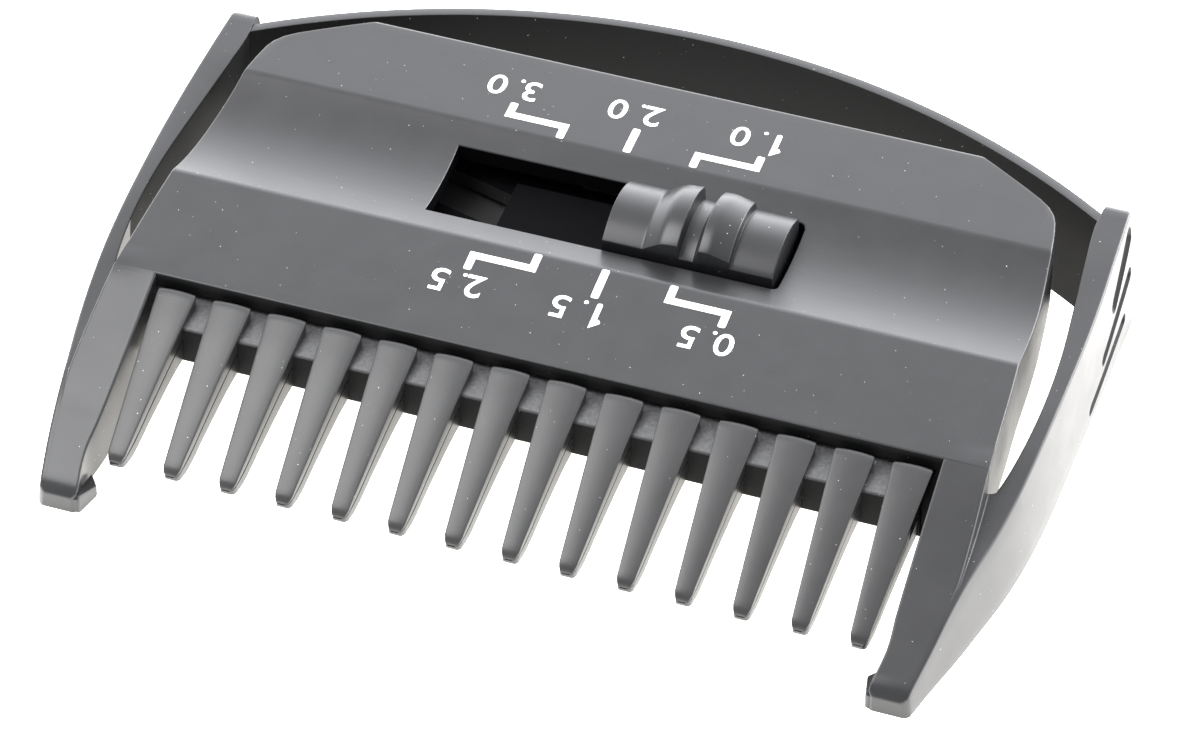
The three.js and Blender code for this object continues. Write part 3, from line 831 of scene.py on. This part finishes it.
def tooth_section(y, share=1.0, inset=0.0):
    """Outline of a tooth at y: crowned top, drafted flanks with the parting groove half way down."""
    along = (y - TOOTH_WIDTH["front"]) / TOOTH_WIDTH["length"]
    half = (TOOTH_WIDTH["half"] + TOOTH_WIDTH["gain"] * along) * share
    top = smooth(TOOTH_TOP, y) - inset
    foot = smooth(TOOTH_FOOT, y) + inset * 0.8
    deep = top - foot
    crown = TOOTH_CROWN * half
    middle = (top + foot) / 2 + PARTING["lift"]
    size = min(1.0, deep / PARTING["full_at"])
    lean = TOOTH_WIDTH["draft"] * deep
    groove = half - lean * 0.4 - PARTING["depth"] * size
    corners = [(half * part, top - crown * part * part, None) for part in (0.25, 0.55, 0.8)]
    corners += [
        (half, top - crown, TOOTH_EDGE["top"]),
        (half - lean * 0.4, middle + 0.11 * size, None),
        (groove, middle + 0.05 * size, None),
        (groove, middle - 0.09 * size, None),
        (half - lean * 0.5 - 0.02, middle - 0.11 * size, None),
        (half - lean, foot, TOOTH_EDGE["foot"]),
    ]
    outline = rounded(corners + [(-x, z, r) for x, z, r in reversed(corners)], 3)
    return [(x, y, z) for x, z in outline]


def one_tooth():
    """A tooth from its rounded nose to its rounded root, in the middle of the comb."""
    builder = bmesh.new()
    sections = [tooth_section(*row) for row in TOOTH_NOSE]
    sections += [tooth_section(y) for y in np.linspace(3.1, 11.4, 22)]
    sections += [tooth_section(y, 1.0 - inset * 0.6, inset) for y, inset in TOOTH_ROOT]
    loft(builder, sections)
    return new_piece("tooth", builder)


def comb_plate(half, v0, v1, w0, w1, radius):
    """A flat bar of the deck with rounded long edges."""
    builder = bmesh.new()
    outline = rounded([(v0, w0, radius), (v0, w1, radius), (v1, w1, radius), (v1, w0, radius)], 3)
    sections = []
    inner = half - PLATE_EDGE
    for x, shrink in ((-half, PLATE_EDGE), (-inner, 0), (inner, 0), (half, PLATE_EDGE)):
        section = []
        for v, w in outline:
            middle_v, middle_w = (v0 + v1) / 2, (w0 + w1) / 2
            near_v = v - math.copysign(shrink, v - middle_v)
            near_w = w - math.copysign(shrink, w - middle_w)
            section.append((x, *deck(near_v, near_w)))
        sections.append(section)
    loft(builder, sections)
    return new_piece("comb_plate", builder)


def cam_slot(side_sign):
    """The slanting slot that a cam pin slides in."""
    builder = bmesh.new()
    radius = CAM["radius"]
    right = (CAM["x"] + side_sign * CAM["spread"], CAM["v"])
    left = (right[0] - CAM["travel"], CAM["back"])
    heading = math.atan2(right[1] - left[1], right[0] - left[0])
    loop = []
    for centre, turn in ((right, heading - math.pi / 2), (left, heading + math.pi / 2)):
        for angle in np.linspace(turn, turn + math.pi, 13):
            loop.append((centre[0] + radius * math.cos(angle), centre[1] + radius * math.sin(angle)))
    loft(builder, [[(x, *deck(v, w)) for x, v in loop] for w in (-5, -1.5)])
    return new_piece("cam_slot", builder)


def tooth_row(tooth):
    """Repeats the tooth along the bar with a node tree, as one mesh."""
    tree = bpy.data.node_groups.new("tooth_row", "GeometryNodeTree")
    tree.interface.new_socket("Geometry", in_out="INPUT", socket_type="NodeSocketGeometry")
    count = tree.interface.new_socket("Teeth", in_out="INPUT", socket_type="NodeSocketInt")
    pitch = tree.interface.new_socket("Pitch", in_out="INPUT", socket_type="NodeSocketFloat")
    tree.interface.new_socket("Geometry", in_out="OUTPUT", socket_type="NodeSocketGeometry")
    given = tree.nodes.new("NodeGroupInput")
    result = tree.nodes.new("NodeGroupOutput")
    many, apart = given.outputs["Teeth"], given.outputs["Pitch"]
    gaps = wired(tree, "ShaderNodeMath", [(0, many), (1, 1.0)], operation="SUBTRACT")
    span = wired(tree, "ShaderNodeMath", [(0, gaps.outputs[0]), (1, apart)], operation="MULTIPLY")
    start = wired(tree, "ShaderNodeMath", [(0, span.outputs[0]), (1, -0.5)], operation="MULTIPLY")
    first = wired(tree, "ShaderNodeCombineXYZ", [("X", start.outputs[0])])
    step = wired(tree, "ShaderNodeCombineXYZ", [("X", apart)])
    row = wired(tree, "GeometryNodeMeshLine", [("Count", many), ("Start Location", first.outputs[0]),
                                               ("Offset", step.outputs[0])])
    copies = wired(tree, "GeometryNodeInstanceOnPoints", [("Points", row.outputs[0]),
                                                          ("Instance", given.outputs["Geometry"])])
    real = wired(tree, "GeometryNodeRealizeInstances", [(0, copies.outputs[0])])
    dressed = wired(tree, "GeometryNodeSetMaterial", [(0, real.outputs[0]), ("Material", comb_plastic)])
    tree.links.new(dressed.outputs[0], result.inputs[0])
    row_modifier = tooth.modifiers.new("row", "NODES")
    row_modifier.node_group = tree
    row_modifier[count.identifier] = TEETH
    row_modifier[pitch.identifier] = TOOTH_PITCH / 1000
    return settled(tooth)


comb_plastic = plastic("comb_plastic", (0.019, 0.019, 0.0194), (0.027, 0.027, 0.0274), 0.34)
# The bar's top between the teeth: coarser grain and mottle, and a lighter colour that is painted light.
grainy_bar_top_painted_light = plastic("comb_bar_painted_light", (0.02, 0.02, 0.021), (0.10, 0.10, 0.102), 0.36,
                   grain=6.0, depth=1.0, mottle=5.0)
comb = tooth_row(one_tooth())
tongue = comb_plate(**TONGUE)
for sign in (-1, 1):
    combined(tongue, cam_slot(sign), "DIFFERENCE")
combined(comb, comb_plate(**BAR), "UNION")
combined(comb, tongue, "UNION")
comb.name = "comb_moulding"
shaded(comb)
dressed_in(comb, comb_plastic, rough_painted_shade, grainy_bar_top_painted_light, shadow_black)
# Painted shade on the tongue's top and the bar's ends (near-black) and the bar's front (darker charcoal);
# painted light on the bar's top.
bar_face = deck(BAR["v0"], BAR_PAINTED_SHADE_AND_LIGHT["height"])[0]
for face in comb.data.polygons:
    x, y, z = face_middle(face)
    tongue_top = y > BAR_PAINTED_SHADE_AND_LIGHT["behind"] and face.normal.z > 0.2
    bar_front = abs(y - bar_face) < FACE_REACH and face.normal.y < -0.8
    bar_end = abs(x) > BAR_PAINTED_SHADE_AND_LIGHT["end"] and abs(face.normal.x) > 0.6
    bar_level = z < deck(y - DECK[0], BAR_PAINTED_SHADE_AND_LIGHT["skin"])[1] and abs(x) < BAR_PAINTED_SHADE_AND_LIGHT["half"]
    face.material_index = 0
    if tongue_top or bar_end:
        face.material_index = 3
    elif bar_front:
        face.material_index = 1
    elif bar_level and face.normal.z > 0.98:
        face.material_index = 2
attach(comb, "comb")
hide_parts("comb")

# ---- Thumb slide ----
# An arched button with two ridges for the thumb and a pointer groove between them, moulded in
# black plastic and staked through the slot to the carriage below.
THUMB = {"left": 0.05, "half": 2.38, "middle": 11.8, "edge": 0.3, "arch": 0.8, "foot": -1.35}
THUMB_EDGE = 0.05
THUMB_LINE = [(0, -1.35, None), (0, 0, 0.06), (2.3, 0, 0.1), (3.3, 0.72, 0.3), (4.33, 0.84, 0.05)]
THUMB_LINE += [(4.38, -0.12, 0.04), (5.2, -0.12, 0.06), (5.5, 0.8, 0.1), (6.15, 0.84, 0.2)]
THUMB_LINE += [(7.25, 0.5, 0.05), (7.3, 0, 0.03), (9.7, 0, 0.06), (9.7, -1.35, None)]
STAKES = (1.9, 7.9)
STAKE = [(0.9, -1.2), (0.9, -2.38), (0.82, -2.45)]  # radius and height of each rim


def thumb_button():
    """The button: THUMB_LINE along the slot, and an arch across it."""
    builder = bmesh.new()
    across = np.linspace(-1, 1, 17)
    sections = []
    for x, rise in rounded(THUMB_LINE, 4)[1:-1]:
        corners = [(-THUMB["half"], THUMB["foot"], THUMB_EDGE)]
        corners.append((-THUMB["half"], THUMB["edge"] + rise, THUMB_EDGE))
        for share in across[1:-1]:
            lift = THUMB["edge"] + rise + THUMB["arch"] * (1 - share * share)
            corners.append((share * THUMB["half"], lift, None))
        corners.append((THUMB["half"], THUMB["edge"] + rise, THUMB_EDGE))
        corners.append((THUMB["half"], THUMB["foot"], THUMB_EDGE))
        section = [(THUMB["left"] + x, *deck(THUMB["middle"] + v, w)) for v, w in rounded(corners, 3)]
        sections.append(section)
    loft(builder, sections)
    return new_piece("thumb_button", builder)


thumb = thumb_button()
for x in STAKES:
    combined(thumb, turned(x, THUMB["middle"], STAKE), "UNION")
shaded(thumb, 20)
slide_plastic = plastic("slide_plastic", (0.012, 0.0123, 0.0132), (0.016, 0.0163, 0.0172), 0.30,
                        grain=12.0, depth=0.08)
dressed_in(thumb, slide_plastic)
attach(thumb, "slide")
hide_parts("thumb_slide")
# The carriage under the slot is painted near-black as shade; the back plate takes the comb's plastic.
for node, finish in (("slide_carriage", shadow_black), ("back_plate", comb_plastic)):
    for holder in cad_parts[node].material_slots:
        holder.material = finish

# ---- Steel parts ----
# Bright drawn steel: the detent leaf and the four screws of the back plate.


def steel(name):
    material = bpy.data.materials.new(name)
    material.use_nodes = True
    tree = material.node_tree
    tree.nodes.clear()
    skin = wired(tree, "ShaderNodeGroup", node_tree=GRAIN)
    skin.inputs["Grain per mm"].default_value = 20.0
    tone = wired(tree, "ShaderNodeMix", [("Factor", skin.outputs["Mottle"]), (MIX_A, (0.50, 0.50, 0.51, 1)),
                                         (MIX_B, (0.66, 0.66, 0.67, 1))], data_type="RGBA")
    shader = wired(tree, "ShaderNodeBsdfPrincipled", [("Base Color", tone.outputs[MIX_RESULT]),
                                                      ("Metallic", 1.0), ("Roughness", 0.28),
                                                      ("Normal", skin.outputs["Normal"])])
    wired(tree, "ShaderNodeOutputMaterial", [("Surface", shader.outputs[0])])
    return material


bright_steel = steel("bright_steel")
for node in ("detent_spring", "plate_screw_1", "plate_screw_2", "plate_screw_3", "plate_screw_4"):
    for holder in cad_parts[node].material_slots:
        holder.material = bright_steel

# ---- Studio ----
# A plain white floor, a bright sky that dims overhead, a soft key light, and two small lamps that
# lift the near left corner and the far right rim.
SKY_STOPS = [(0.0, 4.4), (0.2, 4.2), (0.4, 3.1), (0.5, 2.4)]
SKY_STOPS += [(0.56, 1.9), (0.62, 1.27), (0.8, 0.97), (1.0, 0.35)]
SKY_TINT = (0.985, 0.995, 1.03)
SKY_DARK_SIDE = (-0.1, -0.75, 0.654)
floor_builder = bmesh.new()
bmesh.ops.create_grid(floor_builder, x_segments=2, y_segments=2, size=1500)
floor = new_piece("floor", floor_builder)
if floor.data.polygons[0].normal.z < 0:
    floor.data.flip_normals()
floor_paint = bpy.data.materials.new("floor_paint")
floor_paint.use_nodes = True
floor_shader = floor_paint.node_tree.nodes["Principled BSDF"]
floor_shader.inputs["Base Color"].default_value = (0.93, 0.93, 0.93, 1)
floor_shader.inputs["Roughness"].default_value = 0.9
floor_shader.inputs["Emission Color"].default_value = (1.0, 0.975, 0.91, 1)
floor_shader.inputs["Emission Strength"].default_value = 2.0
floor.data.materials.append(floor_paint)
floor.location.z = -0.00002

world = bpy.data.worlds.new("studio")
bpy.context.scene.world = world
world.use_nodes = True
tree = world.node_tree
tree.nodes.clear()
way = wired(tree, "ShaderNodeTexCoord")
toward = wired(tree, "ShaderNodeVectorMath", [(0, way.outputs["Generated"]), (1, SKY_DARK_SIDE)],
               operation="DOT_PRODUCT")
share = wired(tree, "ShaderNodeMapRange", [("Value", toward.outputs["Value"]), ("From Min", -1.0),
                                           ("From Max", 1.0)])
ramp = wired(tree, "ShaderNodeValToRGB", [(0, share.outputs[0])])
ramp.color_ramp.interpolation = "LINEAR"
while len(ramp.color_ramp.elements) < len(SKY_STOPS):
    ramp.color_ramp.elements.new(0.5)
for element, (position, level) in zip(ramp.color_ramp.elements, SKY_STOPS):
    element.position = position
    element.color = (*(level * tint for tint in SKY_TINT), 1)
sky = wired(tree, "ShaderNodeBackground", [("Color", ramp.outputs[0]), ("Strength", 1.37)])
wired(tree, "ShaderNodeOutputWorld", [("Surface", sky.outputs[0])])


def soft_light(name, place, aim, size, power):
    """A round lamp of a size in metres that faces a point."""
    lamp = bpy.data.lights.new(name, "AREA")
    lamp.shape = "DISK"
    lamp.size = size
    lamp.energy = power
    holder = bpy.data.objects.new(name, lamp)
    holder.location = place
    holder.rotation_euler = (Vector(aim) - Vector(place)).to_track_quat("-Z", "Y").to_euler()
    bpy.context.collection.objects.link(holder)
    return holder


key = soft_light("key", (-0.15, 0.1, 0.6), (0, 0, 0), 0.5, 5)
key.visible_glossy = False
near = soft_light("near_left", (-0.065, -0.035, 0.12), (-0.02, -0.01, 0), 0.08, 0.12)
near.visible_camera = False
rim = soft_light("rim_right", (0.28, 0.28, 0.1), (0, 0, 0), 0.16, 1.1)
rim.visible_camera = False

camera_lens = bpy.data.cameras.new("camera")
camera_lens.lens = 175.9
camera_lens.sensor_width = 36
camera_lens.sensor_fit = "HORIZONTAL"
camera_lens.clip_start = 0.01
camera = bpy.data.objects.new("camera", camera_lens)
# The directions of right, down and ahead as the camera sees them.
right = Vector((0.94374, 0.33068, 0))
down = Vector((0.22263, -0.63537, -0.73942))
ahead = Vector((-0.24451, 0.69783, -0.67324))
camera.matrix_world = Matrix((right, -down, -ahead)).transposed().to_4x4()
camera.location = placed((78.15, -202.48, 214.42))
bpy.context.collection.objects.link(camera)
bpy.context.scene.camera = camera
bpy.context.scene.view_settings.view_transform = "Standard"
